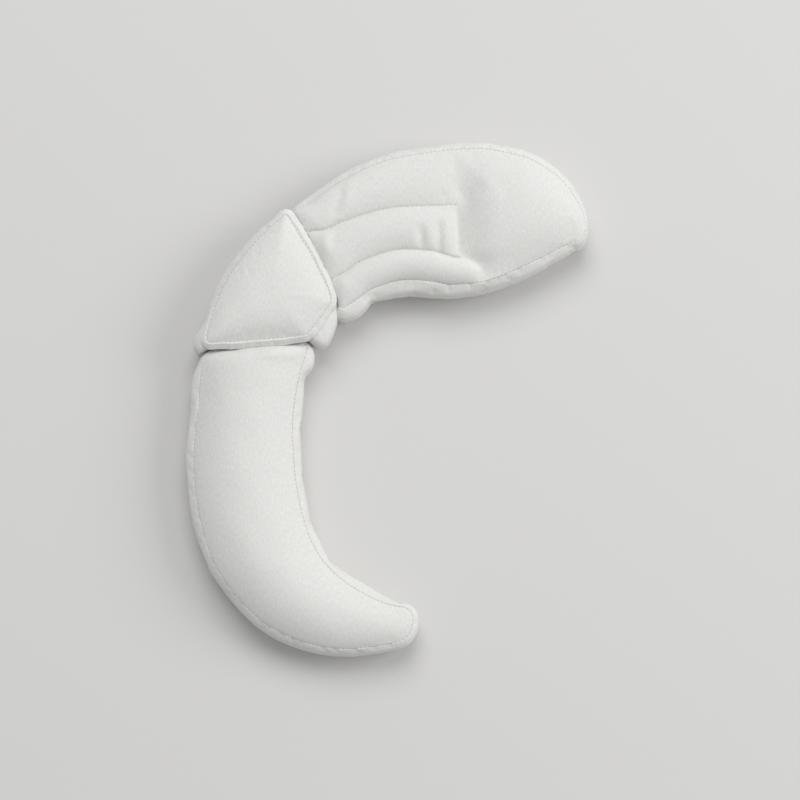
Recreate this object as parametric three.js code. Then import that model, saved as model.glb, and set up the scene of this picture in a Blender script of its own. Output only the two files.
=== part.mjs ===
// Crescent pillow: three boxed and filled cushions, sewn end to end in the shape of a C, lying on its back.
// Millimetres, +Z up. It lies on the plane z = 0. +X points to the open side of the C, and +Y to the end
// with the bulb. The origin is under the middle of the pillow.
import * as THREE from 'three';

// Sizes that all the cushions share
const bottomSeam = 5; // height of the seam between the boxing and the bottom panel
const undersideEdge = 1.5; // height of the rounded edge below that seam
const stitchDip = 1.2; // how far a row of topstitching is drawn in
const weltShare = 0.38; // part of the boxing's stand-out that the edge beside the stitching takes
const weltRise = 0.3; // how far that edge stands above the stitch line
const weltDrop = 1.5; // how far below the stitch line the boxing starts
const boxingSteps = [0, 0.14, 0.36, 0.64, 0.86, 1]; // places down the boxing, from its top to the bottom seam

// The two arms at their ends
const sewnWall = 2.2; // how far that end stands out towards the wedge
const sewnCrown = 22; // length over which the crown rises from that end
const tipCrown = 42; // length over which the crown falls to the tip

// Wedge and its flange
const wedgeSeam = 56; // height of the wedge's stitch line
const wedgeCrown = 14; // how far its middle stands above that
const wedgeMiddle = { x: -126, y: 108 };
const flangeWidth = 8;
const flangeThickness = 2.4;
const flangeDroop = 1; // how far its outer edge hangs lower than its inner edge
const clearance = 0.4; // between the flange and the wedge

// Sections of the arms, from the wedge to the tip. x, y: middle of the section. facing: direction of its
// outer side, in degrees. half: half the width between the stitch lines. outer, inner: how far the boxing
// stands out past them. seam: height of the stitch line. crown: how far the middle stands above it. bow:
// how far the section's line bends towards the tip.
const lowerSections = [
  { x: -142, y: 53.2, facing: 185, half: 58, outer: 1.2, inner: 3, seam: 44, crown: 15, bow: 1.6 },
  { x: -147.5, y: 37, facing: 181, half: 55.5, outer: 3.5, inner: 11, seam: 44, crown: 18, bow: 0.5 },
  { x: -150.5, y: 19, facing: 180.5, half: 53.5, outer: 9, inner: 5, seam: 44, crown: 20, bow: 0 },
  { x: -153.5, y: -6, facing: 180.5, half: 52, outer: 9, inner: 8, seam: 44, crown: 20, bow: 0 },
  { x: -156, y: -33, facing: 180, half: 52, outer: 8.5, inner: 8, seam: 44, crown: 20, bow: 0 },
  { x: -156.5, y: -63, facing: 181.5, half: 53.5, outer: 9, inner: 8, seam: 44, crown: 20, bow: 0 },
  { x: -154.5, y: -95, facing: 184.5, half: 54, outer: 8, inner: 7.5, seam: 44, crown: 20, bow: 0 },
  { x: -149, y: -128, facing: 191.5, half: 54, outer: 8, inner: 7, seam: 44, crown: 20, bow: 0 },
  { x: -139, y: -162, facing: 201, half: 53, outer: 7, inner: 6, seam: 44, crown: 20, bow: 0 },
  { x: -124.5, y: -189, facing: 210, half: 50, outer: 6, inner: 8, seam: 44, crown: 20, bow: 0 },
  { x: -102, y: -216, facing: 220.5, half: 46, outer: 6.5, inner: 7, seam: 44, crown: 19, bow: 0 },
  { x: -73, y: -235, facing: 234, half: 40, outer: 6.5, inner: 9, seam: 44, crown: 17, bow: 0 },
  { x: -44, y: -246, facing: 243, half: 33.5, outer: 6, inner: 9, seam: 43, crown: 14, bow: 0 },
  { x: -17, y: -250.5, facing: 252, half: 26, outer: 6, inner: 8, seam: 42, crown: 11, bow: 0 },
  { x: 7, y: -251, facing: 260, half: 20, outer: 6, inner: 6, seam: 41, crown: 8, bow: 0 },
  { x: 26.5, y: -249, facing: 266, half: 17, outer: 6.5, inner: 6.5, seam: 40, crown: 6, bow: 0 },
];
const upperSections = [
  { x: -79, y: 150.5, facing: 116, half: 59, outer: 3, inner: 5, seam: 48, crown: 8, bow: 2.9 },
  { x: -70.5, y: 155, facing: 115, half: 59, outer: 6, inner: 14, seam: 48, crown: 9, bow: 1.5 },
  { x: -60, y: 160, facing: 113.5, half: 59.5, outer: 8, inner: 11, seam: 48, crown: 10, bow: 0.5 },
  { x: -45, y: 170.5, facing: 111, half: 61, outer: 8, inner: 10, seam: 48, crown: 11, bow: 0 },
  { x: -26, y: 181, facing: 107.5, half: 63, outer: 9, inner: 11.5, seam: 48, crown: 12, bow: 0 },
  { x: -6, y: 189.5, facing: 104.5, half: 65.5, outer: 8.5, inner: 14, seam: 48, crown: 12, bow: 0 },
  { x: 15, y: 194.5, facing: 100.5, half: 68.5, outer: 9, inner: 13.5, seam: 48, crown: 12, bow: 0 },
  { x: 38.5, y: 196, facing: 97.5, half: 72, outer: 9, inner: 13, seam: 48, crown: 12, bow: 0 },
  { x: 62, y: 196.5, facing: 94, half: 75, outer: 8.5, inner: 11, seam: 48, crown: 12, bow: 0 },
  { x: 84, y: 198, facing: 92, half: 75.5, outer: 9, inner: 9.5, seam: 48, crown: 14, bow: 0 },
  { x: 107, y: 200, facing: 91, half: 74, outer: 9, inner: 8, seam: 48, crown: 18, bow: 0 },
  { x: 129, y: 202, facing: 90.5, half: 68, outer: 9, inner: 9, seam: 48, crown: 19, bow: 0 },
  { x: 151.5, y: 204, facing: 90, half: 60, outer: 9, inner: 10, seam: 48, crown: 19, bow: 0 },
  { x: 172, y: 203.5, facing: 89.5, half: 49.5, outer: 8.5, inner: 9, seam: 47.5, crown: 17, bow: 0 },
  { x: 189.5, y: 200.5, facing: 88, half: 38, outer: 7, inner: 8, seam: 47, crown: 13, bow: 0 },
  { x: 203, y: 194, facing: 86, half: 25.5, outer: 6, inner: 6.5, seam: 46, crown: 9, bow: 0 },
  { x: 216, y: 183, facing: 84, half: 14, outer: 4, inner: 4, seam: 45, crown: 6, bow: 0 },
];

// The upper arm's two channel seams run from the wedge to the valley. Their places are from -1 at the
// arm's outer side to 1 at its inner side: end at the valley, and spread more towards the outer side at
// the wedge. floor is a seam's height above the stitch line, as a share of the crown.
const channelSeams = [
  { end: -0.17, spread: 0.56, power: 2.35, floor: 0.35 },
  { end: 0.53, spread: 0.13, power: 1.4, floor: 0.3 },
];
const channelSections = 8; // the channels are full over this many sections
const valleySections = 1.5; // and are gone this many sections further on
const puffRise = 0.72; // how far a channel's middle stands above its seams, as a share of the crown

// Soft folds of the top panels. x, y: middle. heading: direction along the fold, in degrees. length,
// width: half sizes. rise: height, below zero for a trough.
const upperFolds = [
  { x: 78, y: 205, heading: 92, length: 52, width: 9, rise: -4.5 },
  { x: 92, y: 226, heading: 75, length: 20, width: 12, rise: -5 },
  { x: 64, y: 198, heading: 94, length: 30, width: 7, rise: 2 },
  { x: 38, y: 174, heading: 92, length: 14, width: 5, rise: -2 },
  { x: -55, y: 212, heading: 70, length: 16, width: 6, rise: -2.5 },
  { x: -44, y: 224, heading: 80, length: 18, width: 6, rise: 2.5 },
  { x: -66, y: 168, heading: 85, length: 14, width: 6, rise: 1.5 },
  { x: -52, y: 115, heading: 60, length: 14, width: 6, rise: 2 },
];
const lowerFolds = [
  { x: -150, y: 30, heading: 5, length: 50, width: 12, rise: 1.5 },
  { x: -82, y: -176, heading: 30, length: 16, width: 7, rise: -1.5 },
];

// Stitch line of the wedge, anticlockwise from its sharp corner. wall: how far the boxing stands out past it.
const wedgeOutline = [
  { x: -112, y: 197.5, wall: 4 },
  { x: -121, y: 191, wall: 7 },
  { x: -136, y: 177, wall: 8 },
  { x: -152, y: 159, wall: 8 },
  { x: -168, y: 137, wall: 8 },
  { x: -179, y: 118, wall: 8 },
  { x: -188, y: 97, wall: 8 },
  { x: -194.5, y: 77, wall: 8 },
  { x: -197.5, y: 63, wall: 14 },
  { x: -197, y: 57, wall: 19 },
  { x: -196, y: 55.4, wall: 17 },
  { x: -194.8, y: 54.9, wall: 4 },
  { x: -188, y: 55, wall: 2.5 },
  { x: -160, y: 57, wall: 2.5 },
  { x: -129, y: 59.5, wall: 2.5 },
  { x: -107, y: 61.5, wall: 2.5 },
  { x: -93, y: 62.8, wall: 2.5 },
  { x: -89.5, y: 63.7, wall: 3 },
  { x: -87, y: 65.6, wall: 18 },
  { x: -83.5, y: 69.8, wall: 22 },
  { x: -76.5, y: 79, wall: 20 },
  { x: -68, y: 91, wall: 14 },
  { x: -62.5, y: 99.5, wall: 3.5 },
  { x: -63.5, y: 108, wall: 2.5 },
  { x: -68, y: 120, wall: 2.5 },
  { x: -75, y: 135, wall: 2.5 },
  { x: -85, y: 155, wall: 2.5 },
  { x: -96, y: 173, wall: 2.5 },
  { x: -106, y: 190, wall: 2.5 },
];

// Fineness of the faces
const stepsPerOutlineRow = 3;
const wedgeRings = 6;
const crowding = 0.12; // how much closer together an arm's rungs lie at its ends

const degrees = Math.PI / 180;

// Smooth curve through four values, from the second at f = 0 to the third at f = 1
function smoothBetween(a, b, c, d, f) {
  const linear = (c - a) / 2;
  const square = a - 2.5 * b + 2 * c - d / 2;
  const cube = (d - a) / 2 + 1.5 * (b - c);
  return b + f * (linear + f * (square + f * cube));
}

// Every column of a table at the place t, where 0 is the first row. A closed table runs round.
function rowAt(rows, t, closed) {
  const count = rows.length;
  const first = closed ? Math.floor(t) : Math.min(Math.floor(t), count - 2);
  const pick = (n) => rows[closed ? (n + count) % count : THREE.MathUtils.clamp(n, 0, count - 1)];
  const four = [pick(first - 1), pick(first), pick(first + 1), pick(first + 2)];
  const row = {};
  for (const name of Object.keys(rows[0])) {
    const [a, b, c, d] = four.map((r) => r[name]);
    row[name] = smoothBetween(a, b, c, d, t - first);
  }
  return row;
}

// Places along the length of an arm's table, spread evenly but closer together at both ends
function placesAlong(rows, steps) {
  const fine = 40 * rows.length;
  const known = [{ t: 0, length: 0 }];
  let before = rowAt(rows, 0, false);
  for (let k = 1; k <= fine; k += 1) {
    const t = ((rows.length - 1) * k) / fine;
    const here = rowAt(rows, t, false);
    const length = known[k - 1].length + Math.hypot(here.x - before.x, here.y - before.y);
    known.push({ t, length });
    before = here;
  }
  const total = known[fine].length;
  const places = [];
  for (let i = 0; i <= steps; i += 1) {
    const share = i / steps;
    const fromStart = total * (share - crowding * Math.sin(2 * Math.PI * share));
    const k = Math.max(known.findIndex((p) => p.length >= fromStart - 1e-6), 1);
    const f = (fromStart - known[k - 1].length) / (known[k].length - known[k - 1].length);
    const t = THREE.MathUtils.lerp(known[k - 1].t, known[k].t, f);
    places.push({ t, fromStart, fromTip: total - fromStart });
  }
  return places;
}

// 0 at an end, rising to 1 in a rounding of the given length
function rounding(distance, length, power) {
  const left = THREE.MathUtils.clamp(1 - distance / length, 0, 1);
  return (1 - left ** power) ** (1 / power);
}

function foldHeight(folds, x, y) {
  let height = 0;
  for (const fold of folds) {
    const c = Math.cos(fold.heading * degrees);
    const s = Math.sin(fold.heading * degrees);
    const along = ((x - fold.x) * c + (y - fold.y) * s) / fold.length;
    const across = ((y - fold.y) * c - (x - fold.x) * s) / fold.width;
    height += fold.rise * Math.exp(-(along ** 4) - across ** 2);
  }
  return height;
}

// Crown across a plain section, where u is -1 and 1 at the stitch lines
function plainCrown(u) {
  return (1 - Math.abs(u) ** 2.2) ** 0.8;
}

// Crown across a section with the channel seams: three puffs, with the seams low between them
function channelCrown(u, t) {
  const left = Math.max(1 - t / channelSections, 0);
  const edges = [{ u: -1, floor: 0 }];
  for (const { end, spread, power, floor } of channelSeams) {
    edges.push({ u: end - spread * left ** power, floor });
  }
  edges.push({ u: 1, floor: 0 });
  const k = Math.max(edges.findLastIndex((edge) => edge.u <= u), 0);
  const next = Math.min(k + 1, edges.length - 1);
  const f = next === k ? 0 : (u - edges[k].u) / (edges[next].u - edges[k].u);
  const puff = Math.max(4 * f * (1 - f), 0) ** 0.75;
  return THREE.MathUtils.lerp(edges[k].floor, edges[next].floor, f) + puffRise * puff;
}

function upperCrown(u, t) {
  const plain = THREE.MathUtils.smoothstep(t, channelSections, channelSections + valleySections);
  return THREE.MathUtils.lerp(channelCrown(u, t), plainCrown(u), plain);
}

// The top panel of an arm, as rungs of points from one stitch line to the other. firstSide is -1 where a
// rung starts at the inner side and 1 where it starts at the outer one, so that both arms run anticlockwise.
function armRungs(arm) {
  return placesAlong(arm.sections, arm.steps).map(({ t, fromStart, fromTip }) => {
    const row = rowAt(arm.sections, t, false);
    const corner = arm.corner * (1 - rounding(fromStart, arm.corner, 2));
    const half = (row.half - corner) * rounding(fromTip, arm.nose, 2.3);
    const ends = rounding(fromStart, sewnCrown, 2) * rounding(fromTip, tipCrown, 2);
    const outX = Math.cos(row.facing * degrees);
    const outY = Math.sin(row.facing * degrees);
    const points = [];
    for (let j = 0; j <= arm.columns; j += 1) {
      const even = (2 * j) / arm.columns - 1;
      const u = arm.firstSide * (0.7 * even + 0.3 * Math.sin((even * Math.PI) / 2));
      const bow = arm.firstSide * row.bow * (1 - u * u);
      const x = row.x - outX * half * u + outY * bow;
      const y = row.y - outY * half * u - outX * bow;
      const folds = foldHeight(arm.folds, x, y) * plainCrown(u);
      const z = row.seam - stitchDip + (row.crown * arm.crown(u, t) + folds) * ends;
      points.push({ x, y, z, seam: row.seam, wall: u < 0 ? row.outer : row.inner });
    }
    return points;
  });
}

// Each point of an anticlockwise line with the direction that points out of it
function withDirections(line) {
  return line.map((p, k) => {
    const before = line[(k + line.length - 1) % line.length];
    const after = line[(k + 1) % line.length];
    const length = Math.hypot(after.x - before.x, after.y - before.y);
    return { ...p, outX: (after.y - before.y) / length, outY: (before.x - after.x) / length };
  });
}

// A copy of a line moved outwards, where step gives each point's distance out and its height
function ringFrom(line, step) {
  return line.map((p) => {
    const { out, z } = step(p);
    return { x: p.x + p.outX * out, y: p.y + p.outY * out, z };
  });
}

// The rings from the boxing's top edge down to the rim of the flat bottom. top gives the height of the
// boxing's top edge.
function boxingRings(line, top) {
  const rings = boxingSteps.map((down) => {
    const bulge = Math.max(Math.sin(Math.PI * down), 0) ** 0.8;
    const share = THREE.MathUtils.lerp(weltShare, 1, bulge);
    return ringFrom(line, (p) => ({
      out: p.wall * share,
      z: THREE.MathUtils.lerp(top(p), bottomSeam, down),
    }));
  });
  rings.push(ringFrom(line, (p) => ({ out: (p.wall * weltShare) / 2, z: undersideEdge })));
  rings.push(ringFrom(line, () => ({ out: 0, z: 0 })));
  return rings;
}

// Faces between two rings of points, where lower lies below or outside upper
function band(upper, lower) {
  return upper.flatMap((a, k) => {
    const next = (k + 1) % upper.length;
    return [
      [a, lower[k], lower[next]],
      [a, lower[next], upper[next]],
    ];
  });
}

// A closed cushion: its top panel, the rings below the panel's rim, and a flat bottom in the last ring
function cushion(panel, rings) {
  const points = [...panel.points];
  const faces = [...panel.faces];
  let upper = panel.rim;
  for (const ring of rings) {
    const lower = ring.map((_, k) => points.length + k);
    points.push(...ring);
    faces.push(...band(upper, lower));
    upper = lower;
  }
  const outline = upper.map((n) => new THREE.Vector2(points[n].x, points[n].y));
  for (const [a, b, c] of THREE.ShapeUtils.triangulateShape(outline, [])) {
    faces.push([upper[a], upper[c], upper[b]]);
  }
  return solidGeometry(points, faces);
}

function solidGeometry(points, faces) {
  const shape = new THREE.BufferGeometry();
  const numbers = points.flatMap((p) => [p.x, p.y, p.z]);
  shape.setAttribute('position', new THREE.Float32BufferAttribute(numbers, 3));
  shape.setIndex(faces.flat());
  shape.computeVertexNormals();
  return shape;
}

function armGeometry(arm) {
  const rungs = armRungs(arm);
  const { steps, columns } = arm;
  const points = [...rungs.slice(0, steps).flat(), rungs[steps][0]];
  const tip = points.length - 1;
  const at = (i, j) => (i === steps ? tip : i * (columns + 1) + j);
  const faces = [];
  for (let i = 0; i < steps; i += 1) {
    for (let j = 0; j < columns; j += 1) {
      faces.push([at(i, j), at(i, j + 1), at(i + 1, j)]);
      if (i < steps - 1) {
        faces.push([at(i, j + 1), at(i + 1, j + 1), at(i + 1, j)]);
      }
    }
  }
  const acrossStart = Array.from({ length: columns }, (_, j) => at(0, j));
  const lastSide = Array.from({ length: steps }, (_, i) => at(i, columns));
  const firstSide = Array.from({ length: steps - 1 }, (_, i) => at(steps - 1 - i, 0));
  const rim = [...acrossStart, ...lastSide, tip, ...firstSide];
  const stitches = withDirections(
    rim.map((n) => ({ ...points[n], wall: n <= columns ? sewnWall : points[n].wall })),
  );
  const welt = ringFrom(stitches, (p) => ({ out: (p.wall * weltShare) / 2, z: p.seam + weltRise }));
  const boxing = boxingRings(stitches, (p) => p.seam - weltDrop);
  return cushion({ points, faces, rim }, [welt, ...boxing]);
}

function wedgeStitchLine() {
  const line = [];
  for (let k = 0; k < wedgeOutline.length * stepsPerOutlineRow; k += 1) {
    line.push(rowAt(wedgeOutline, k / stepsPerOutlineRow, true));
  }
  return withDirections(line);
}

const wedgeStitches = wedgeStitchLine();
const flangeBottom = wedgeSeam - flangeThickness;

// The wedge's boxing starts under the flange, at the stitch line
function wedgeGeometry() {
  const points = [{ ...wedgeMiddle, z: wedgeSeam + wedgeCrown }];
  const faces = [];
  let inner = [];
  for (let r = 1; r <= wedgeRings; r += 1) {
    const share = r / wedgeRings;
    const rise = wedgeCrown * plainCrown(share);
    const ring = wedgeStitches.map((_, k) => points.length + k);
    for (const p of wedgeStitches) {
      const x = THREE.MathUtils.lerp(wedgeMiddle.x, p.x, share);
      const y = THREE.MathUtils.lerp(wedgeMiddle.y, p.y, share);
      points.push({ x, y, z: wedgeSeam + rise });
    }
    const aroundMiddle = ring.map((n, k) => [0, n, ring[(k + 1) % ring.length]]);
    faces.push(...(r === 1 ? aroundMiddle : band(inner, ring)));
    inner = ring;
  }
  const underFlange = flangeBottom - clearance;
  const step = ringFrom(wedgeStitches, () => ({ out: 0, z: underFlange }));
  const boxing = boxingRings(wedgeStitches, () => underFlange - weltDrop);
  return cushion({ points, faces, rim: inner }, [step, ...boxing]);
}

// The flange runs all round the wedge. Its section is a thin strip with a folded outer edge.
function flangeGeometry() {
  const fold = flangeWidth - flangeThickness / 2;
  const section = [
    { out: clearance, z: wedgeSeam },
    { out: fold, z: wedgeSeam - flangeDroop },
    { out: flangeWidth, z: wedgeSeam - flangeDroop - flangeThickness / 2 },
    { out: fold, z: flangeBottom - flangeDroop },
    { out: clearance, z: flangeBottom },
  ];
  const points = [];
  const rings = section.map((corner) => {
    const ring = ringFrom(wedgeStitches, () => corner);
    const numbers = ring.map((_, k) => points.length + k);
    points.push(...ring);
    return numbers;
  });
  const faces = rings.flatMap((ring, k) => band(ring, rings[(k + 1) % rings.length]));
  return solidGeometry(points, faces);
}

const cloth = { color: 0xe2e2de, roughness: 0.95, metalness: 0 };

function piece(name, shape) {
  const mesh = new THREE.Mesh(shape, new THREE.MeshStandardMaterial(cloth));
  mesh.name = name;
  return mesh;
}

const lowerArm = {
  sections: lowerSections,
  steps: 34,
  columns: 12,
  firstSide: -1,
  corner: 12,
  nose: 15,
  folds: lowerFolds,
  crown: plainCrown,
};
const upperArm = {
  sections: upperSections,
  steps: 42,
  columns: 24,
  firstSide: 1,
  corner: 8,
  nose: 12,
  folds: upperFolds,
  crown: upperCrown,
};

const pillow = new THREE.Group();
pillow.add(piece('lower_cushion', armGeometry(lowerArm)));
pillow.add(piece('upper_cushion', armGeometry(upperArm)));
pillow.add(piece('wedge_cushion', wedgeGeometry()));
pillow.add(piece('wedge_flange', flangeGeometry()));

// The origin goes under the middle of the whole pillow
const middle = new THREE.Box3().setFromObject(pillow).getCenter(new THREE.Vector3());
for (const mesh of pillow.children) {
  mesh.geometry.translate(-middle.x, -middle.y, 0);
}

export default pillow;
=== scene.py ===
"""Crescent pillow: three boxed, filled cushions of off-white cotton, sewn end to end in the shape of a C.

The tables are in millimetres, in the plan that the cushions' sections were measured in. plan_middle is the
place in that plan which lies over the part's origin. The meshes are made from them in metres.

An arm's sections are counted from the wedge, and t is a place along them. u is a place across an arm, from
-1 at its outer stitch line to 1 at its inner one. Each cushion is a form: a grid of points for its top panel,
and rings of points down its sides.
"""
import math

import bpy
import numpy as np
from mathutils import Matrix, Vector


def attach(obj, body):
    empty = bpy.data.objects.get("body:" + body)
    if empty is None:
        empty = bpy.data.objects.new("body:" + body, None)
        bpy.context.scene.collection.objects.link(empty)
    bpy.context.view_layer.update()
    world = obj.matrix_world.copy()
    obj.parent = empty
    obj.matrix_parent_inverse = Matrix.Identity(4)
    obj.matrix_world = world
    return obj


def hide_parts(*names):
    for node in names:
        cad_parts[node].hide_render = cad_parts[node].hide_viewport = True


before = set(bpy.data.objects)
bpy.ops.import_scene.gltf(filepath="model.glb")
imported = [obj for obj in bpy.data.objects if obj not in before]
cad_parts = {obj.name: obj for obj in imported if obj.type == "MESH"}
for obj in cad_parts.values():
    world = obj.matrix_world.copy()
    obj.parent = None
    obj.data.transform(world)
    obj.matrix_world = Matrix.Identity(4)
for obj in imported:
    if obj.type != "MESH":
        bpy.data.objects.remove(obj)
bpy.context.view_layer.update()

mm = 0.001
plan_middle = np.array([0.768, 0.27])

# Grids of the covers, and of the coarse copies on which their cloth settles
fine_step = 1.6
coarse_step = 4.2
fine_crowding = 0.8
coarse_crowding = 0.3
wedge_fine_rings = 44
wedge_coarse_rings = 14
line_samples = 6000

# Seams, sides and rounded ends that the cushions share
bottom_seam = 5.0
stitch_dip = 1.1
groove_width = 0.8
side_middle = 0.5
side_rounding = 0.25
side_power = 0.68
bottom_share = 0.42
sewn_wall = 2.2
sewn_crown = 18.0
tip_crown = 42.0
tip_end = 0.15
crown_power = 2.1
crown_rounding = 0.95
nose_power = 2.3
circle_power = 2

# Wedge: its crown, how its rings crowd towards its edge, and how its middle is held while its cloth settles
wedge_seam = 56.0
wedge_crown = 14.0
wedge_middle = (-126.0, 108.0)
wedge_crown_power = 2.3
wedge_crown_rounding = 0.85
wedge_hub = 0.02
wedge_crowding = 1.3
wedge_hold = 0.4
wedge_hold_places = (0.1, 0.5)
wedge_seed = 50

# Uneven filling, and puckers beside the seams and down the sides
swell = 0.3
lump_size = 46.0
lump_sizes = (0.7, 1.6)
lump_waves = 9
random_values = 512
edge_pucker_rise = 0.14
edge_pucker_spacings = (6.5, 15.0)
slow_pucker_share = 0.6
edge_pucker_fade = 9.0
channel_pucker_rise = 0.16
channel_pucker_spacing = 7.0
channel_pucker_fade = 7.0
pucker_start = 2.0
side_crease_rises = (0.24, 0.22)
side_crease_spacings = (9.0, 23.0)
side_crease_full = 8.0

# Added to the length along an arm on the second side of a seam, so that its puckers differ from the first's
second_edge = 731.0
second_seam_side = 977.0

# Stitches. Each thread is a short tube: places along it, shares of its width, and heights
stitch_pitch = 4.7
stitch_length = 3.3
thread_radius = 0.42
flange_thread_radius = 0.5
thread_lift = 0.1
thread_sides = 6
thread_places = (-1, -0.72, 0, 0.72, 1)
thread_widths = (0.25, 0.8, 1, 0.8, 0.25)
thread_heights = (-0.55, -0.1, 0.05, -0.1, -0.55)

# Settling of the cloth. Seams are held fully, and a side only by cloth_hold between its held_levels.
panel_growth = 0.001
side_growth = 0.006
cloth_pressure = 3.0
cloth_quality = 6
cloth_mass = 0.25
cloth_stretch = 15
cloth_shear = 5
cloth_bending = 1.0
cloth_hold = 0.02
held_levels = (0.02, 0.98)
cloth_frames = 20
cloth_cap = 5.0

# Woven cotton: streaks of thread to the metre both ways, their shades and their bump
cotton_colour = (0.707, 0.703, 0.69)
cotton_roughness = 0.92
cotton_specular = 0.25
cotton_sheen = 0.12
cotton_sheen_roughness = 0.6
thread_streaks = ((640.0, 200.0, 1.0), (200.0, 640.0, 1.0))
streak_detail = 2.0
streak_roughness = 0.6
crosswise_share = 0.3
darkest_shade = 0.9
lightest_shade = 1.1
shade_places = (0.25, 0.75)
weave_bump = 0.35
weave_height = 0.0003
# The stitch thread is given a colour darker than the cotton. This is painted shade of the stitch line's
# groove; the real thread is the cotton's own colour.
painted_groove_shade_thread_colour = (0.55, 0.55, 0.53)
thread_roughness = 0.7

# Studio
floor_reach = 4.0
floor_drop = 0.0003
floor_colour = (0.652, 0.648, 0.638)
floor_roughness = 0.9
world_colour = (1.0, 1.0, 0.985)
world_strength = 0.45
camera_lens = 148.5
camera_sensor = 36.0
camera_tilt = 10
camera_distance = 3.63
view_middle = (12.9448, 1.3953)

# Lamps: name, azimuth, elevation, distance, size and power
lamps = (
    ("north_light", 94.0, 56.5, 6.0, 4.6, 172.0),
    ("east_light", 7.0, 34.0, 5.5, 3.4, 125.0),
)

# Sections of the arms: middle, the way that the outer side faces, half the width between the stitch lines,
# the stand-out of both sides, the height of the stitch lines and of the crown over them, and the bow

section_columns = ("x", "y", "facing", "half", "outer", "inner", "seam", "crown", "bow")
lower_sections = (
    (-142.0, 53.2, 185.0, 58.0, 1.2, 3.0, 43.0, 14.0, 0.0),
    (-147.5, 37.0, 181.0, 55.5, 3.5, 11.0, 44.0, 18.0, 0.0),
    (-150.5, 19.0, 180.5, 53.5, 9.0, 5.0, 44.0, 20.0, 0.0),
    (-153.5, -6.0, 180.5, 52.0, 9.0, 8.0, 44.0, 20.0, 0.0),
    (-156.0, -33.0, 180.0, 52.0, 8.5, 8.0, 44.0, 20.0, 0.0),
    (-156.5, -63.0, 181.5, 53.5, 9.0, 8.0, 44.0, 20.0, 0.0),
    (-154.5, -95.0, 184.5, 54.0, 8.0, 7.5, 44.0, 20.0, 0.0),
    (-149.0, -128.0, 191.5, 54.0, 8.0, 7.0, 44.0, 20.0, 0.0),
    (-139.0, -162.0, 201.0, 53.0, 7.0, 6.0, 44.0, 20.0, 0.0),
    (-124.5, -189.0, 210.0, 50.0, 6.0, 8.0, 44.0, 20.0, 0.0),
    (-102.0, -216.0, 220.5, 46.0, 6.5, 7.0, 44.0, 19.0, 0.0),
    (-73.0, -235.0, 234.0, 40.0, 6.5, 9.0, 44.0, 17.0, 0.0),
    (-44.0, -246.0, 243.0, 33.5, 6.0, 9.0, 43.0, 14.0, 0.0),
    (-17.0, -250.5, 252.0, 26.0, 6.0, 8.0, 42.0, 11.0, 0.0),
    (7.0, -251.0, 260.0, 20.0, 6.0, 6.0, 41.0, 8.0, 0.0),
    (26.5, -249.0, 266.0, 17.0, 6.5, 6.5, 40.0, 6.0, 0.0),
)
upper_sections = (
    (-77.9, 148.2, 116.0, 61.5, 3.0, 11.0, 48.0, 8.0, 2.9),
    (-69.6, 153.2, 115.0, 61.0, 6.0, 13.5, 48.0, 9.0, 1.5),
    (-59.6, 159.1, 113.5, 60.5, 8.0, 13.0, 48.0, 10.0, 0.5),
    (-45.0, 170.5, 111.0, 61.0, 8.0, 10.0, 48.0, 11.0, 0.0),
    (-26.0, 181.0, 107.5, 63.0, 9.0, 11.5, 48.0, 12.0, 0.0),
    (-6.0, 189.5, 104.5, 65.5, 8.5, 14.0, 48.0, 12.0, 0.0),
    (15.0, 194.5, 100.5, 68.5, 9.0, 13.5, 48.0, 12.0, 0.0),
    (38.5, 196.0, 97.5, 72.0, 9.0, 13.0, 48.0, 12.0, 0.0),
    (62.0, 196.5, 94.0, 75.0, 8.5, 11.0, 48.0, 12.0, 0.0),
    (84.0, 198.0, 92.0, 75.5, 9.0, 9.5, 48.0, 14.0, 0.0),
    (107.0, 200.0, 91.0, 74.0, 9.0, 8.0, 48.0, 18.0, 0.0),
    (129.0, 202.0, 90.5, 68.0, 9.0, 9.0, 48.0, 19.0, 0.0),
    (151.5, 204.0, 90.0, 60.0, 9.0, 10.0, 48.0, 19.0, 0.0),
    (172.0, 203.5, 89.5, 49.5, 8.5, 9.0, 47.5, 17.0, 0.0),
    (189.5, 200.5, 88.0, 38.0, 7.0, 8.0, 47.0, 13.0, 0.0),
    (203.0, 194.0, 86.0, 25.5, 6.0, 6.5, 46.0, 9.0, 0.0),
    (216.0, 183.0, 84.0, 14.0, 4.0, 4.0, 45.0, 6.0, 0.0),
)

# Channel seams: end, spread and power of their places across the arm, how far they turn in at the wedge, the
# bend at their other end, the height that they hold the panel down to, and the last section they are sewn to
channel_seams = (
    {"end": -0.17, "spread": 0.56, "power": 2.35, "turn": 0.2, "tail": 0.0, "floor": 0.35, "last": 8.62},
    {"end": 0.53, "spread": 0.13, "power": 1.4, "turn": 0.04, "tail": 0.09, "floor": 0.3, "last": 8.68},
)
channel_sections = 8.0
tail_section = 7.2
turn_sections = 1.3
puff_rise = 0.72
puff_power = 0.75
seam_reach = 0.5
seam_fade = 0.1
seam_pull = 0.75
seam_pull_wave = 0.15
seam_pull_width = 1.5

# Crease between the channels and the tip's dome: its place, its height as a share of the crown, and how far
# its slopes reach on both sides. Each pair holds the places across the arm between which it changes.
crease_section = 8.67
crease_bend = 1.1
crease_bend_places = (0.5, 0.85)
crease_floor = 0.3
crease_floor_places = (-1.2, 0)
crease_before = 13.0
crease_outer = 1.5
crease_outer_places = (0, -0.3)
crease_rounding = 2.5
crease_after = 20.0
crease_after_power = 1.4
section_step = 22.0

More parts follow.
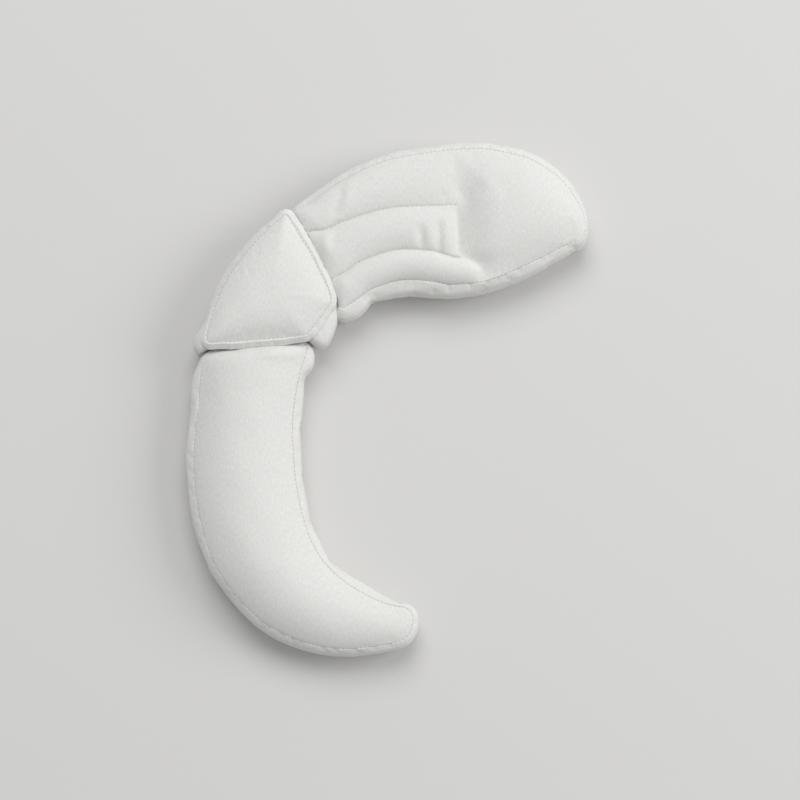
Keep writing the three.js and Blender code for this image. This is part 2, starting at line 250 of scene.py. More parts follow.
# Soft folds in the panels: middle, heading, half length, half width and height
upper_folds = (
    (93.0, 224.0, 30.0, 17.0, 12.0, -3.0),
    (106.0, 214.0, 24.0, 22.0, 5.0, 1.2),
    (55.5, 171.0, 89.0, 17.0, 5.0, -3.2),
    (36.2, 172.0, 95.0, 12.0, 5.2, -3.0),
    (-55.0, 212.0, 70.0, 16.0, 6.0, -1.5),
    (-44.0, 224.0, 80.0, 18.0, 6.0, 1.5),
    (-68.0, 168.0, 85.0, 14.0, 6.0, 1.8),
    (-52.0, 115.0, 60.0, 14.0, 6.0, 1.8),
)
lower_folds = (
    (-108.0, 47.0, 8.0, 30.0, 9.0, 5.5),
    (-178.0, 47.0, 5.0, 18.0, 8.0, -2.0),
    (-82.0, -176.0, 30.0, 16.0, 7.0, -1.5),
)

# Wedge's stitch line, anticlockwise from its sharp corner. The wall is the boxing's stand-out. The flange is
# free of the side where free is 1, and lies on it where it is 0.
outline_columns = ("x", "y", "wall", "flange", "free")
wedge_outline = (
    (-112.0, 197.5, 4.0, 8.0, 1.0),
    (-121.0, 191.0, 7.0, 8.0, 0.6),
    (-136.0, 177.0, 8.0, 8.0, 0.0),
    (-152.0, 159.0, 8.0, 8.0, 0.0),
    (-168.0, 137.0, 8.0, 8.0, 0.0),
    (-179.0, 118.0, 8.0, 8.0, 0.0),
    (-188.0, 97.0, 8.0, 8.0, 0.0),
    (-194.5, 77.0, 8.5, 8.0, 0.0),
    (-197.5, 63.0, 13.0, 7.5, 0.0),
    (-197.0, 57.0, 16.0, 7.0, 0.15),
    (-196.0, 55.4, 15.0, 6.8, 0.6),
    (-194.8, 54.9, 4.0, 6.6, 1.0),
    (-188.0, 55.0, 2.5, 6.6, 1.0),
    (-160.0, 57.0, 2.5, 6.6, 1.0),
    (-129.0, 59.5, 2.5, 6.6, 1.0),
    (-107.0, 61.5, 2.5, 6.6, 1.0),
    (-93.0, 62.8, 2.5, 6.6, 1.0),
    (-89.5, 63.7, 3.0, 6.8, 1.0),
    (-87.0, 65.6, 18.0, 7.0, 0.6),
    (-83.5, 69.8, 22.0, 7.2, 0.35),
    (-76.5, 79.0, 20.0, 7.3, 0.3),
    (-68.0, 91.0, 15.0, 7.0, 0.45),
    (-62.5, 99.5, 8.0, 6.5, 0.9),
    (-63.5, 108.0, 3.0, 6.5, 1.0),
    (-68.0, 120.0, 2.5, 6.5, 1.0),
    (-75.0, 135.0, 2.5, 6.5, 1.0),
    (-85.0, 155.0, 2.5, 6.8, 1.0),
    (-96.0, 173.0, 2.5, 7.2, 1.0),
    (-106.0, 190.0, 2.5, 7.8, 1.0),
)

# Rings of the sides, as shares of the way down from the stitch line to the bottom seam
side_places = (
    (0.005, 0.013, 0.026, 0.042, 0.06, 0.085, 0.115, 0.15, 0.19, 0.24, 0.3, 0.37, 0.45, 0.53)
    + (0.61, 0.69, 0.76, 0.82, 0.87, 0.91, 0.945, 0.975, 1.0)
)
coarse_side_places = (0.06, 0.15, 0.27, 0.4, 0.53, 0.66, 0.79, 0.91, 1.0)

# Rings of the flange where it stands free: shares of its width, heights, and the places down the side of
# the same rings where the flange lies on it
flange_rings = (
    (0.05, -0.65, 0.003),
    (0.12, -0.35, 0.007),
    (0.22, -0.45, 0.012),
    (0.35, -1.3, 0.018),
    (0.55, -2.7, 0.024),
    (0.75, -4.1, 0.03),
    (0.88, -5.1, 0.035),
    (0.96, -5.8, 0.039),
    (1.0, -6.4, 0.043),
    (0.97, -6.9, 0.046),
    (0.88, -7.1, 0.049),
    (0.6, -6.4, 0.052),
    (0.3, -5.4, 0.055),
    (0.08, -5.1, 0.058),
    (0.0, -5.4, 0.06),
)
flange_depth = 5.4

# Rings that round the edge of the bottom: shares of the stand-out, heights and places. A coarse copy has one.
underside_rings = (
    (0.42, 4.2, 1.05),
    (0.41, 3.1, 1.1),
    (0.36, 1.9, 1.2),
    (0.26, 0.8, 1.3),
    (0.13, 0.2, 1.4),
)
coarse_underside_rings = underside_rings[2:3]

# Columns are counted between each two neighbouring seams. The corner and the nose round the panel's ends.
lower_arm = {
    "sections": lower_sections,
    "folds": lower_folds,
    "channels": (),
    "fine_columns": (64,),
    "coarse_columns": (26,),
    "corner": 12.0,
    "nose": 15.0,
    "side": -1,
    "flip": True,
    "seed": 11,
}
upper_arm = {
    "sections": upper_sections,
    "folds": upper_folds,
    "channels": channel_seams,
    "fine_columns": (36, 32, 24),
    "coarse_columns": (15, 13, 9),
    "corner": 5.0,
    "nose": 12.0,
    "side": 1,
    "flip": False,
    "seed": 31,
}


def smooth_rows(rows, t, closed=False):
    """The rows at the places t, on a smooth curve through them. Row 0 is at 0."""
    count = len(rows)
    first = np.floor(t).astype(int)
    if not closed:
        first = np.clip(first, 0, count - 2)

    def pick(n):
        return rows[n % count if closed else np.clip(n, 0, count - 1)]

    a, b, c, d = (pick(first + k) for k in (-1, 0, 1, 2))
    f = (t - first).reshape((-1,) + (1,) * (rows.ndim - 1))
    linear = (c - a) / 2
    square = a - 2.5 * b + 2 * c - d / 2
    cube = (d - a) / 2 + 1.5 * (b - c)
    return b + f * (linear + f * (square + f * cube))


def table_at(table, columns, t, closed=False):
    """A dict with each column of a table at the places t."""
    values = smooth_rows(np.array(table), t, closed)
    return {name: values[:, k] for k, name in enumerate(columns)}


def place_in(known, places):
    """Where places lie in a rising list of known ones, counted in its steps."""
    return np.interp(places, known, np.arange(len(known)))


def smoothstep(x, low, high):
    """0 at low and 1 at high, with a smooth change between them."""
    f = np.clip((x - low) / (high - low), 0, 1)
    return f * f * (3 - 2 * f)


def rounding(distance, length, power):
    """0 at an end, rising to 1 in a rounding of the given length."""
    left = np.clip(1 - distance / length, 0, 1)
    return (1 - left**power) ** (1 / power)


def running_length(*columns):
    """Length along a line up to each of its points."""
    steps = np.sqrt(sum(np.diff(c) ** 2 for c in columns))
    return np.concatenate([[0], np.cumsum(steps)])


def wavy(x, seed, spacing):
    """A smooth random line through values from -1 to 1, one every spacing."""
    values = np.random.default_rng(seed).uniform(-1, 1, random_values)
    place = np.asarray(x) / spacing
    first = np.floor(place).astype(int)
    f = place - first
    f = f * f * (3 - 2 * f)
    return values[first % random_values] * (1 - f) + values[(first + 1) % random_values] * f


def lumps(x, y, seed):
    """Slow uneven swell of the filling, from about -1 to 1."""
    draw = np.random.default_rng(seed)
    total = np.zeros(np.broadcast(x, y).shape)
    for _ in range(lump_waves):
        angle = draw.uniform(0, 2 * math.pi)
        wave = 2 * math.pi / (lump_size * draw.uniform(*lump_sizes))
        shift = draw.uniform(0, 2 * math.pi)
        total += np.sin(wave * (x * math.cos(angle) + y * math.sin(angle)) + shift)
    return total / (lump_waves / 2)


def fold_height(folds, x, y):
    """Height that straight soft folds add at points of a panel."""
    height = np.zeros(x.shape)
    for fx, fy, heading, length, width, rise in folds:
        c = math.cos(math.radians(heading))
        s = math.sin(math.radians(heading))
        along = ((x - fx) * c + (y - fy) * s) / length
        across = ((y - fy) * c - (x - fx) * s) / width
        height += rise * np.exp(-(along**4) - across**2)
    return height


def plain_crown(u):
    """Height across a panel without channels, as a share of its crown."""
    return (1 - np.minimum(np.abs(u), 1) ** crown_power) ** crown_rounding


def puff_edges(arm, t):
    """Places across each rung of its stitch lines and channel seams, from -1 at the outer side to 1."""
    left = np.maximum(1 - t / channel_sections, 0)
    lines = [np.full(t.shape, -1.0)]
    for seam in arm["channels"]:
        turn = seam["turn"] * np.exp(-t / turn_sections)
        turn = turn + seam["tail"] * smoothstep(t, tail_section, crease_section)
        lines.append(seam["end"] - seam["spread"] * left ** seam["power"] + turn)
    lines.append(np.ones(t.shape))
    return np.stack(lines, axis=1)


def crown_across(arm, t, u, puff, f):
    """Height across each rung, as a share of the crown. puff and f say which puff and how far across it."""
    plain = plain_crown(u)
    if not arm["channels"]:
        return plain
    floors = np.array([0.0] + [seam["floor"] for seam in arm["channels"]] + [0.0])
    chord = floors[puff] * (1 - f) + floors[puff + 1] * f
    channels = chord + puff_rise * np.maximum(4 * f * (1 - f), 0) ** puff_power
    crease = crease_section + crease_bend * smoothstep(u, *crease_bend_places)
    beyond = section_step * (t[:, None] - crease)
    away = np.hypot(beyond, crease_rounding) - crease_rounding
    floor = plain * (1 - (1 - crease_floor) * smoothstep(u, *crease_floor_places))
    reach = crease_before * (1 + crease_outer * smoothstep(u, *crease_outer_places))
    before = channels + (floor - channels) * np.exp(-away / reach)
    after = plain + (floor - plain) * np.exp(-((away / crease_after) ** crease_after_power))
    return np.where(beyond < 0, before, after)


def arm_half(arm, t, start, tip):
    """Half the width of an arm's panel, rounded in at both ends."""
    half = table_at(arm["sections"], section_columns, t)["half"]
    corner = arm["corner"] * (1 - rounding(start, arm["corner"], circle_power))
    return (half - corner) * rounding(tip, arm["nose"], nose_power)


def arm_places(arm, step):
    """Places of the rungs along an arm, and their distances from both ends. Steps are no longer than step."""
    t = np.linspace(0, len(arm["sections"]) - 1, line_samples)
    line = table_at(arm["sections"], section_columns, t)
    start = running_length(line["x"], line["y"])
    inside = start <= start[-1] - tip_end
    t, start, tip = t[inside], start[inside], (start[-1] - start)[inside]
    half = arm_half(arm, t, start, tip)
    facing = np.radians(line["facing"][inside])
    x, y = line["x"][inside], line["y"][inside]
    steps = np.zeros(len(t) - 1)
    for side in (-1, 1):
        side_x = x - side * half * np.cos(facing)
        side_y = y - side * half * np.sin(facing)
        steps = np.maximum(steps, np.hypot(np.diff(side_x), np.diff(side_y)))
    reach = np.concatenate([[0], np.cumsum(steps)])
    even = np.linspace(0, reach[-1], math.ceil(reach[-1] / step) + 1)
    return np.interp(even, reach, t), np.interp(even, reach, start), np.interp(even, reach, tip)


def column_places(counts, crowding):
    """Places of the columns across an arm: whole numbers are its stitch lines and channel seams."""
    places = [np.array([0.0])]
    for k, count in enumerate(counts):
        f = np.arange(1, count + 1) / count
        places.append(k + f - crowding * np.sin(2 * math.pi * f) / (2 * math.pi))
    return np.concatenate(places)


def channel_hold(arm, t, u, half, edges):
    """1 at the points of a panel that a channel seam sews down, and 0 elsewhere."""
    held = np.zeros(u.shape)
    for k, seam in enumerate(arm["channels"]):
        near = np.abs(u - edges[:, k + 1][:, None]) * half < seam_reach
        held = np.maximum(held, near * (t < seam["last"])[:, None])
    return held


def arm_panel(arm, row, places, columns, detail):
    """Points of an arm's top panel, how firmly its channel seams hold them, and their places across."""
    t, start, tip = places
    half = arm_half(arm, t, start, tip)[:, None]
    edges = puff_edges(arm, t)
    puff = np.minimum(columns.astype(int), edges.shape[1] - 2)
    f = np.broadcast_to(columns - puff, (len(t), len(columns)))
    u = edges[:, puff] * (1 - f) + edges[:, puff + 1] * f
    ends = (rounding(start, sewn_crown, circle_power) * rounding(tip, tip_crown, circle_power))[:, None]
    out_x = np.cos(np.radians(row["facing"]))[:, None]
    out_y = np.sin(np.radians(row["facing"]))[:, None]
    bow = arm["side"] * row["bow"][:, None] * (1 - u * u)
    x = row["x"][:, None] - out_x * half * u + out_y * bow
    y = row["y"][:, None] - out_y * half * u - out_x * bow
    rise = row["crown"][:, None] * crown_across(arm, t, u, puff, f)
    rise = rise + fold_height(arm["folds"], x, y) * plain_crown(u)
    if detail:
        along = start[:, None] + np.where(u < 0, 0, second_edge)
        rise = rise + edge_puckers(arm["seed"], along, (1 - np.abs(u)) * half)
        rise = rise + swell * lumps(x, y, arm["seed"]) * plain_crown(u)
        rise = rise + channel_grooves(arm, t, u, half, start, edges)
    z = row["seam"][:, None] - stitch_dip + rise * ends
    return np.stack([x, y, z], axis=2), channel_hold(arm, t, u, half, edges), u


def arm_rings(wall, seam, detail):
    """Rings down an arm's sides, from the stand-out and the stitch line's height at each point of the rim."""
    rings = []
    for place in side_places if detail else coarse_side_places:
        distance = wall * side_share(place)
        rings.append((distance, seam + (bottom_seam - seam) * place - groove_left(distance), place))
    return rings + underside(wall, detail)


def arm_form(arm, detail):
    """An arm's cushion. Its panel is flipped where that is needed for the rim to run anticlockwise."""
    counts = arm["fine_columns"] if detail else arm["coarse_columns"]
    columns = column_places(counts, fine_crowding if detail else coarse_crowding)
    places = arm_places(arm, fine_step if detail else coarse_step)
    row = table_at(arm["sections"], section_columns, places[0])
    panel, held, u = arm_panel(arm, row, places, columns, detail)
    wall = np.where(u < 0, row["outer"][:, None], row["inner"][:, None])
    seam = np.broadcast_to(row["seam"][:, None], u.shape)
    across = columns / len(counts)
    if arm["flip"]:
        panel, held, wall, seam = (values[:, ::-1] for values in (panel, held, wall, seam))
        across = 1 - across[::-1]
    along = np.arange(len(row["seam"])) / (len(row["seam"]) - 1)
    numbers = np.arange(u.size).reshape(u.shape)
    rim = np.concatenate([numbers[0, :-1], numbers[:-1, -1], numbers[-1, :0:-1], numbers[:0:-1, 0]])
    form = {
        "panel": panel,
        "held": held,
        "rows": along,
        "columns": across,
        "closed": False,
        "numbers": numbers,
        "rim": rim,
        "around": np.concatenate([across[:-1], 1 + along[:-1], 3 - across[:0:-1], 4 - along[:0:-1]]),
        "turns": 4.0,
    }
    wall = wall.ravel()[rim]
    wall[: len(columns)] = sewn_wall
    add_rings(form, arm_rings(wall, seam.ravel()[rim], detail), arm["seed"], detail)
    return form


def lower_form(detail):
    return arm_form(lower_arm, detail)


def upper_form(detail):
    return arm_form(upper_arm, detail)


def edge_puckers(seed, along, from_edge):
    """Small puckers of a panel beside its edge, as added height."""
    fine, slow = edge_pucker_spacings
    pucker = wavy(along, seed + 1, fine) + slow_pucker_share * wavy(along, seed + 2, slow)
    fade = np.exp(-from_edge / edge_pucker_fade)
    return edge_pucker_rise * pucker * fade * (1 - np.exp(-from_edge / pucker_start))


def channel_grooves(arm, t, u, half, start, edges):
    """The channel seams, drawn in, with puckers on both sides, as added height."""
    height = np.zeros(u.shape)
    for k, seam in enumerate(arm["channels"]):
        sewn = 1 - smoothstep(t, seam["last"] - seam_fade, seam["last"] + seam_fade)[:, None]
        distance = (u - edges[:, k + 1][:, None]) * half
        pull = seam_pull + seam_pull_wave * np.cos(2 * math.pi * start / stitch_pitch)[:, None]
        height -= sewn * pull * np.exp(-((distance / seam_pull_width) ** 2))
        along = start[:, None] + np.where(distance < 0, 0, second_seam_side)
        pucker = wavy(along, arm["seed"] + 7 + k, channel_pucker_spacing)
        fade = np.exp(-np.abs(distance) / channel_pucker_fade)
        near = fade * (1 - np.exp(-np.abs(distance) / pucker_start))
        height += sewn * channel_pucker_rise * pucker * near
    return height


def outwards(line):
    """Directions that point out of an anticlockwise line."""
    d = np.roll(line, -1, axis=0) - np.roll(line, 1, axis=0)
    length = np.hypot(d[:, 0], d[:, 1])
    return np.stack([d[:, 1] / length, -d[:, 0] / length], axis=1)


def side_share(place):
    """How far a side stands out, as a share of its stand-out, at a share of the way down."""
    if place < side_middle:
        bulge = 1 - max(1 - place / side_rounding, 0) ** 2
    else:
        bulge = max(math.sin(math.pi * place), 0) ** side_power
    return bulge + bottom_share * place**2 * (1 - bulge)


def groove_left(distance):
    """Depth of the stitch line's groove at a distance from it."""
    return stitch_dip * np.exp(-((distance / groove_width) ** 2))


def underside(wall, detail):
    """Rings that round the edge of the bottom."""
    rings = underside_rings if detail else coarse_underside_rings
    return [(wall * share, height + 0 * wall, level) for share, height, level in rings]


def side_creases(seed, along, distance, level):
    """Small creases of a side where it stands out, as added stand-out."""
    fine, slow = side_crease_spacings
    fine_rise, slow_rise = side_crease_rises
    crease = fine_rise * wavy(along, seed + 3, fine) + slow_rise * wavy(along, seed + 4, slow)
    middle = max(math.sin(math.pi * min(max(level, 0), 1)), 0)
    loose = np.clip(distance / side_crease_full, 0, 1) * middle
    return crease * loose


def rim_line(form):
    """The stitch line round a form's panel."""
    return form["panel"].reshape(-1, 3)[form["rim"]]


def add_rings(form, rings, seed, detail):
    """Stacks rings below a form's rim. Each has its distance from the rim, its height and its place."""
    line = rim_line(form)
    out = outwards(line)
    along = running_length(*line.T)
    stack = []
    for distance, height, level in rings:
        if detail:
            distance = distance + side_creases(seed, along, distance, level)
        plan = line[:, :2] + out * distance[:, None]
        stack.append(np.concatenate([plan, (height + 0 * along)[:, None]], axis=1))
    form["rings"] = np.stack(stack)
    form["levels"] = np.array([level for _, _, level in rings])
    form["along"] = along


def quads(values):
    """Each small square of a grid, as its four corners' values."""
    corners = [values[:-1, :-1], values[:-1, 1:], values[1:, 1:], values[1:, :-1]]
    return np.stack(corners, axis=2).reshape((-1, 4) + values.shape[2:])


def side_map(corners, along):
    """Cloth map of the sides: length round the cushion, and depth down from its stitch line."""
    depth = np.cumsum(np.linalg.norm(np.diff(corners, axis=1), axis=2), axis=1)
    depth = np.concatenate([np.zeros((len(corners), 1)), depth], axis=1)
    length = np.append(along, along[-1] + fine_step)
    return np.stack([np.broadcast_to(length[:, None], depth.shape), depth], axis=2)


def form_mesh(form):
    """Points, faces and cloth map of a closed cushion: its panel, its rings, and a flat bottom panel."""
    panel, rings, numbers, rim = (form[name] for name in ("panel", "rings", "numbers", "rim"))
    size = numbers.size
    count = len(rim)
    bottom = panel.reshape(-1, 3) * (1, 1, 0)
    points = np.concatenate([panel.reshape(-1, 3), rings.reshape(-1, 3), bottom])
    last = size + len(rings) * count
    rows = [rim] + [size + k * count + np.arange(count) for k in range(len(rings))] + [last + rim]
    sides = np.stack([np.append(row, row[0]) for row in rows], axis=1)
    top = numbers
    flat = panel[:, :, :2]
    up = slice(None)
    under = slice(None, None, -1)
    if form["closed"]:
        top = np.concatenate([top, top[:, :1]], axis=1)
        flat = np.concatenate([flat, flat[:, :1]], axis=1)
        up, under = under, up
    faces = [quads(top)[:, up], quads(sides), quads(top + last)[:, under]]
    maps = [quads(flat)[:, up], quads(side_map(points[sides], form["along"])), quads(flat)[:, under]]
    faces = np.concatenate(faces).tolist()
    maps = np.concatenate(maps).reshape(-1, 2)
    if form["closed"]:
        faces.append(numbers[0].tolist())
        faces.append((numbers[0] + last)[::-1].tolist())
        maps = np.concatenate([maps, panel[0, :, :2], panel[0, ::-1, :2]])
    return points, faces, maps


def wedge_rings(row, detail):
    """Rings of the wedge: those of its flange, then those of the side below it."""
    free = np.clip(row["free"], 0, 1)
    lying = 1 - free
    wall = row["wall"]
    fall = bottom_seam - wedge_seam
    rings = []
    for share, height, place in flange_rings if detail else flange_rings[-1:]:
        lies = wall * side_share(place)
        distance = free * row["flange"] * share + lying * lies
        drop = fall * place - groove_left(lies)
        rings.append((distance, wedge_seam + free * height + lying * drop, place))
    start = flange_rings[-1][2]
    for place in side_places if detail else coarse_side_places:
        if place > start:
            below = (place - start) / (1 - start)
            distance = wall * (free * side_share(below) + lying * side_share(place))
            height = free * ((fall + flange_depth) * below - flange_depth) + lying * fall * place
            rings.append((distance, wedge_seam + height, place))
    return rings + underside(wall, detail)


def wedge_form(detail):
    """The wedge's cushion with its flange. Its grid has a ring round its middle for each row."""
    fine = np.linspace(0, len(wedge_outline), line_samples)
    line = table_at(wedge_outline, outline_columns, fine, closed=True)
    reach = running_length(line["x"], line["y"])
    count = math.ceil(reach[-1] / (fine_step if detail else coarse_step))
    along = np.arange(count) * reach[-1] / count
    row = table_at(wedge_outline, outline_columns, np.interp(along, reach, fine), closed=True)
    middle = np.array(wedge_middle)
    edge = np.stack([row["x"], row["y"]], axis=1)
    ring_count = wedge_fine_rings if detail else wedge_coarse_rings
    shares = 1 - (1 - np.linspace(wedge_hub, 1, ring_count)) ** wedge_crowding
    flat = middle + shares[:, None, None] * (edge - middle)
    inside = (1 - shares[:, None] ** wedge_crown_power) ** wedge_crown_rounding
    rise = wedge_crown * inside + np.zeros((1, count))
    if detail:
        from_edge = (1 - shares)[:, None] * np.hypot(*(edge - middle).T)
        rise = rise + edge_puckers(wedge_seed, along, from_edge)
        rise = rise + swell * lumps(flat[:, :, 0], flat[:, :, 1], wedge_seed + 3) * inside
    panel = np.concatenate([flat, (wedge_seam - stitch_dip + rise)[:, :, None]], axis=2)
    numbers = np.arange(rise.size).reshape(rise.shape)
    form = {
        "panel": panel,
        "held": wedge_hold * (1 - smoothstep(shares, *wedge_hold_places))[:, None] + np.zeros(rise.shape),
        "rows": shares,
        "columns": np.arange(count) / count,
        "closed": True,
        "numbers": numbers,
        "rim": numbers[-1],
        "around": np.arange(count) / count,
        "turns": 1.0,
    }
    add_rings(form, wedge_rings(row, detail), wedge_seed, detail)
    return form


def hold_weights(form, size):
    """How firmly each point of a cushion is held: its seams and its bottom fully, the rest less or hardly."""
    held = np.ones(size)
    panel_held = np.maximum(form["held"].ravel(), cloth_hold)
    panel_held[form["rim"]] = 1
    held[: len(panel_held)] = panel_held
    count = len(form["rim"])
    for k, level in enumerate(form["levels"]):
        first = len(panel_held) + k * count
        held[first : first + count] = cloth_hold if held_levels[0] < level < held_levels[1] else 1
    return held


def add_cloth(piece, form, held):
    """Makes a piece into cloth that is a little too big, and that pressure pushes out from inside."""
    group = piece.vertex_groups.new(name="held")
    for weight in np.unique(held):
        group.add(np.flatnonzero(held == weight).tolist(), float(weight), "REPLACE")
    taut = piece.vertex_groups.new(name="taut")
    taut.add(list(range(form["numbers"].size)), 1.0, "REPLACE")
    cloth = piece.modifiers.new("cloth", "CLOTH")
    settings = cloth.settings
    settings.quality = cloth_quality
    settings.mass = cloth_mass
    settings.tension_stiffness = cloth_stretch
    settings.compression_stiffness = cloth_stretch
    settings.shear_stiffness = cloth_shear
    settings.bending_stiffness = cloth_bending
    settings.use_pressure = True
    settings.uniform_pressure_force = cloth_pressure
    settings.shrink_min = -side_growth
    settings.shrink_max = -panel_growth
    settings.vertex_group_shrink = taut.name
    settings.vertex_group_mass = group.name
    settings.pin_stiffness = 1
    settings.effector_weights.gravity = 0
    cloth.point_cache.frame_start = 1
    cloth.point_cache.frame_end = cloth_frames


def settle(name, form):
    """How far each point of a form moves when its cover, a little too big, rests on the pushing filling."""
    points, faces, _ = form_mesh(form)
    mesh = bpy.data.meshes.new(name)
    mesh.from_pydata((points * mm).tolist(), [], faces)
    piece = bpy.data.objects.new(name, mesh)
    scene = bpy.context.scene
    scene.collection.objects.link(piece)
    add_cloth(piece, form, hold_weights(form, len(points)))
    for frame_number in range(1, cloth_frames + 1):
        scene.frame_set(frame_number)
    settled = piece.evaluated_get(bpy.context.evaluated_depsgraph_get())
    places = np.empty(len(points) * 3, dtype=np.float32)
    settled.data.vertices.foreach_get("co", places)
    scene.frame_set(1)
    bpy.data.objects.remove(piece)
    bpy.data.meshes.remove(mesh)
    moves = places.reshape(-1, 3) / mm - points
    length = np.linalg.norm(moves, axis=1)[:, None] + 1e-9
    moves *= cloth_cap * np.tanh(length / cloth_cap) / length
    size = form["panel"].shape
    count = size[0] * size[1]
    rings = form["rings"].shape
    return moves[:count].reshape(size), moves[count : count + rings[0] * rings[1]].reshape(rings)


def carry(coarse, moves, fine):
    """Adds the moves of a coarse form to a fine one of the same cushion."""
    panel, rings = moves
    panel = smooth_rows(panel, place_in(coarse["rows"], fine["rows"]))
    if fine["closed"]:
        column = fine["columns"] * len(coarse["columns"])
    else:
        column = place_in(coarse["columns"], fine["columns"])
    panel = smooth_rows(np.swapaxes(panel, 0, 1), column, fine["closed"])
    fine["panel"] = fine["panel"] + np.swapaxes(panel, 0, 1)
    rings = smooth_rows(rings, place_in(coarse["levels"], fine["levels"]))
    around = place_in(np.append(coarse["around"], coarse["turns"]), fine["around"])
    rings = smooth_rows(np.swapaxes(rings, 0, 1), around, closed=True)
    fine["rings"] = fine["rings"] + np.swapaxes(rings, 0, 1)


def make_piece(name, points, faces, maps, material):
    """A smooth mesh in metres, in the part's frame."""
    placed = points.copy()
    placed[:, :2] -= plan_middle
    mesh = bpy.data.meshes.new(name)
    mesh.from_pydata((placed * mm).tolist(), [], faces)
    mesh.polygons.foreach_set("use_smooth", np.ones(len(faces), dtype=bool))
    if maps is not None:
        layer = mesh.uv_layers.new(name="Cloth")
        layer.uv.foreach_set("vector", (maps * mm).astype(np.float32).ravel())
    mesh.materials.append(material)
    mesh.update()
    piece = bpy.data.objects.new(name, mesh)
    bpy.context.scene.collection.objects.link(piece)
    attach(piece, "root")
    return piece


def stitch_row(line, closed, radius):
    """Points of short threads along a row of sewing, sunk a little at both ends."""
    if closed:
        line = np.concatenate([line, line[:1]])
    length = running_length(*line.T)
    count = round(length[-1] / stitch_pitch)
    pitch = length[-1] / count
    middles = (np.arange(count) + 0.5) * pitch
    around = np.arange(thread_sides) * 2 * math.pi / thread_sides
    spots = np.array(thread_places) * stitch_length / 2
    widths = np.array(thread_widths) * radius
    points = []
    for middle in middles:
        places = np.stack([np.interp(middle + spots, length, column) for column in line.T], axis=1)
        ahead = places[-1] - places[0]
        ahead = ahead / np.linalg.norm(ahead)
        side = np.cross(ahead, (0, 0, 1))
        side = side / np.linalg.norm(side)
        above = np.cross(side, ahead)
        for place, width, height in zip(places, widths, thread_heights):
            ring_middle = place + above * (height + thread_lift + radius - thread_radius)
            ring = ring_middle + width * (np.cos(around)[:, None] * side + np.sin(around)[:, None] * above)
            points.append(ring)
    return np.concatenate(points)


def stitches(name, rows, radius, material):
    """One piece with every row of a cushion's sewing."""
    points = np.concatenate([stitch_row(line, closed, radius) for line, closed in rows])
    tubes = np.arange(len(points)).reshape(-1, len(thread_places), thread_sides)
    tubes = np.concatenate([tubes, tubes[:, :, :1]], axis=2)
    faces = []
    for tube in tubes:
        faces.extend(quads(tube).tolist())
        faces.append(tube[0, :-1][::-1].tolist())
        faces.append(tube[-1, :-1].tolist())
    return make_piece(name, points, faces, None, material)


def channel_rows(form):
    """The sewn part of each channel seam of the upper arm."""
    t = arm_places(upper_arm, fine_step)[0]
    rows = []
    for column, seam in zip(np.cumsum(upper_arm["fine_columns"]), channel_seams):
        last = int(np.searchsorted(t, seam["last"]))
        rows.append((form["panel"][: last + 1, column], False))
    return rows


def cushion(name, form_of, material, nodes):
    """A finished cover, after its cloth has settled."""
    fine = form_of(True)
    coarse = form_of(False)
    carry(coarse, settle(name, coarse), fine)
    piece = make_piece(name, *form_mesh(fine), material)
    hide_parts(*nodes)
    return fine


def node_tree(material):
    material.use_nodes = True
    return material.node_tree.nodes, material.node_tree.links


def thread_noise(nodes, links, place, streaks):
    """Streaks of thread along one way of the cloth, as a noise from 0 to 1."""
    mapping = nodes.new("ShaderNodeMapping")
    mapping.inputs["Scale"].default_value = streaks
    links.new(place.outputs["UV"], mapping.inputs["Vector"])
    noise = nodes.new("ShaderNodeTexNoise")
    noise.inputs["Scale"].default_value = 1.0
    noise.inputs["Detail"].default_value = streak_detail
    noise.inputs["Roughness"].default_value = streak_roughness
    links.new(mapping.outputs["Vector"], noise.inputs["Vector"])
    return noise.outputs["Fac"]


def cloth_material(name, colour):
    """Plain woven cotton: streaks of thread both ways, in its shade and in its bump."""
    material = bpy.data.materials.new(name)
    nodes, links = node_tree(material)
    shader = nodes["Principled BSDF"]
    shader.inputs["Roughness"].default_value = cotton_roughness
    shader.inputs["Specular IOR Level"].default_value = cotton_specular
    shader.inputs["Sheen Weight"].default_value = cotton_sheen
    shader.inputs["Sheen Roughness"].default_value = cotton_sheen_roughness
    place = nodes.new("ShaderNodeUVMap")
    place.uv_map = "Cloth"
    lengthwise, crosswise = (thread_noise(nodes, links, place, streaks) for streaks in thread_streaks)
    weave = nodes.new("ShaderNodeMix")
    weave.data_type = "FLOAT"
    weave.inputs["Factor"].default_value = crosswise_share
    links.new(lengthwise, weave.inputs["A"])
    links.new(crosswise, weave.inputs["B"])
    ramp = nodes.new("ShaderNodeValToRGB")
    low = [c * darkest_shade for c in colour]
    high = [min(c * lightest_shade, 1) for c in colour]
    for k, shade in enumerate((low, high)):
        ramp.color_ramp.elements[k].position = shade_places[k]
        ramp.color_ramp.elements[k].color = (*shade, 1)
    links.new(weave.outputs["Result"], ramp.inputs["Fac"])
    links.new(ramp.outputs["Color"], shader.inputs["Base Color"])
    bump = nodes.new("ShaderNodeBump")
    bump.inputs["Strength"].default_value = weave_bump
    bump.inputs["Distance"].default_value = weave_height
    links.new(weave.outputs["Result"], bump.inputs["Height"])
    links.new(bump.outputs["Normal"], shader.inputs["Normal"])
    return material


def plain_material(name, colour, roughness):
    """A material of one colour and roughness."""
    material = bpy.data.materials.new(name)
    nodes, _ = node_tree(material)
    nodes["Principled BSDF"].inputs["Base Color"].default_value = (*colour, 1)
    nodes["Principled BSDF"].inputs["Roughness"].default_value = roughness
    return material


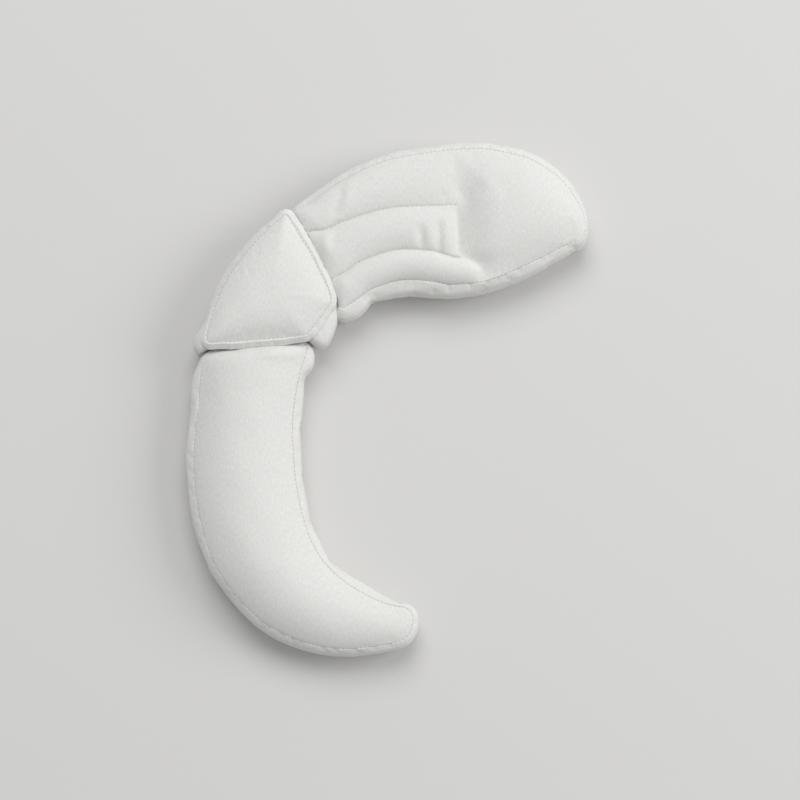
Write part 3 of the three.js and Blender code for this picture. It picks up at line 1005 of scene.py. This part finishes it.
def soft_light(name, azimuth, elevation, distance, size, power):
    """A large round lamp that shines at the middle of the floor. Azimuth runs from +X towards +Y."""
    across = math.cos(math.radians(elevation))
    direction = Vector((
        across * math.cos(math.radians(azimuth)),
        across * math.sin(math.radians(azimuth)),
        math.sin(math.radians(elevation)),
    ))
    data = bpy.data.lights.new(name, "AREA")
    data.shape = "DISK"
    data.size = size
    data.energy = power
    lamp = bpy.data.objects.new(name, data)
    lamp.location = direction * distance
    lamp.rotation_euler = direction.to_track_quat("Z", "Y").to_euler()
    bpy.context.scene.collection.objects.link(lamp)


cotton = cloth_material("cotton", cotton_colour)
# The thread's darker colour is painted shade of the stitch groove, not the thread's own colour
thread = plain_material("thread", painted_groove_shade_thread_colour, thread_roughness)

lower = cushion("lower_cover", lower_form, cotton, ("lower_cushion",))
upper = cushion("upper_cover", upper_form, cotton, ("upper_cushion",))
wedge = cushion("wedge_cover", wedge_form, cotton, ("wedge_cushion", "wedge_flange"))

stitches("lower_stitches", [(rim_line(lower), True)], thread_radius, thread)
stitches("upper_stitches", [(rim_line(upper), True), *channel_rows(upper)], thread_radius, thread)
stitches("wedge_stitches", [(rim_line(wedge), True)], flange_thread_radius, thread)

floor_mesh = bpy.data.meshes.new("floor")
floor_corners = [(x * floor_reach, y * floor_reach, 0) for x, y in ((-1, -1), (1, -1), (1, 1), (-1, 1))]
floor_mesh.from_pydata(floor_corners, [], [(0, 1, 2, 3)])
floor = bpy.data.objects.new("floor", floor_mesh)
floor.location.z = -floor_drop
bpy.context.scene.collection.objects.link(floor)
floor_mesh.materials.append(plain_material("floor", floor_colour, floor_roughness))

for lamp in lamps:
    soft_light(*lamp)

world = bpy.data.worlds.new("studio")
bpy.context.scene.world = world
world.use_nodes = True
world.node_tree.nodes["Background"].inputs["Color"].default_value = (*world_colour, 1)
world.node_tree.nodes["Background"].inputs["Strength"].default_value = world_strength
bpy.context.scene.view_settings.view_transform = "Standard"

camera_data = bpy.data.cameras.new("camera")
camera_data.lens = camera_lens
camera_data.sensor_width = camera_sensor
camera = bpy.data.objects.new("camera", camera_data)
tilt = math.radians(camera_tilt)
target = np.array([view_middle[0] - plan_middle[0], view_middle[1] - plan_middle[1], 0]) * mm
camera.location = target + camera_distance * np.array([0, -math.sin(tilt), math.cos(tilt)])
camera.rotation_euler = (tilt, 0, 0)
bpy.context.scene.collection.objects.link(camera)
bpy.context.scene.camera = camera
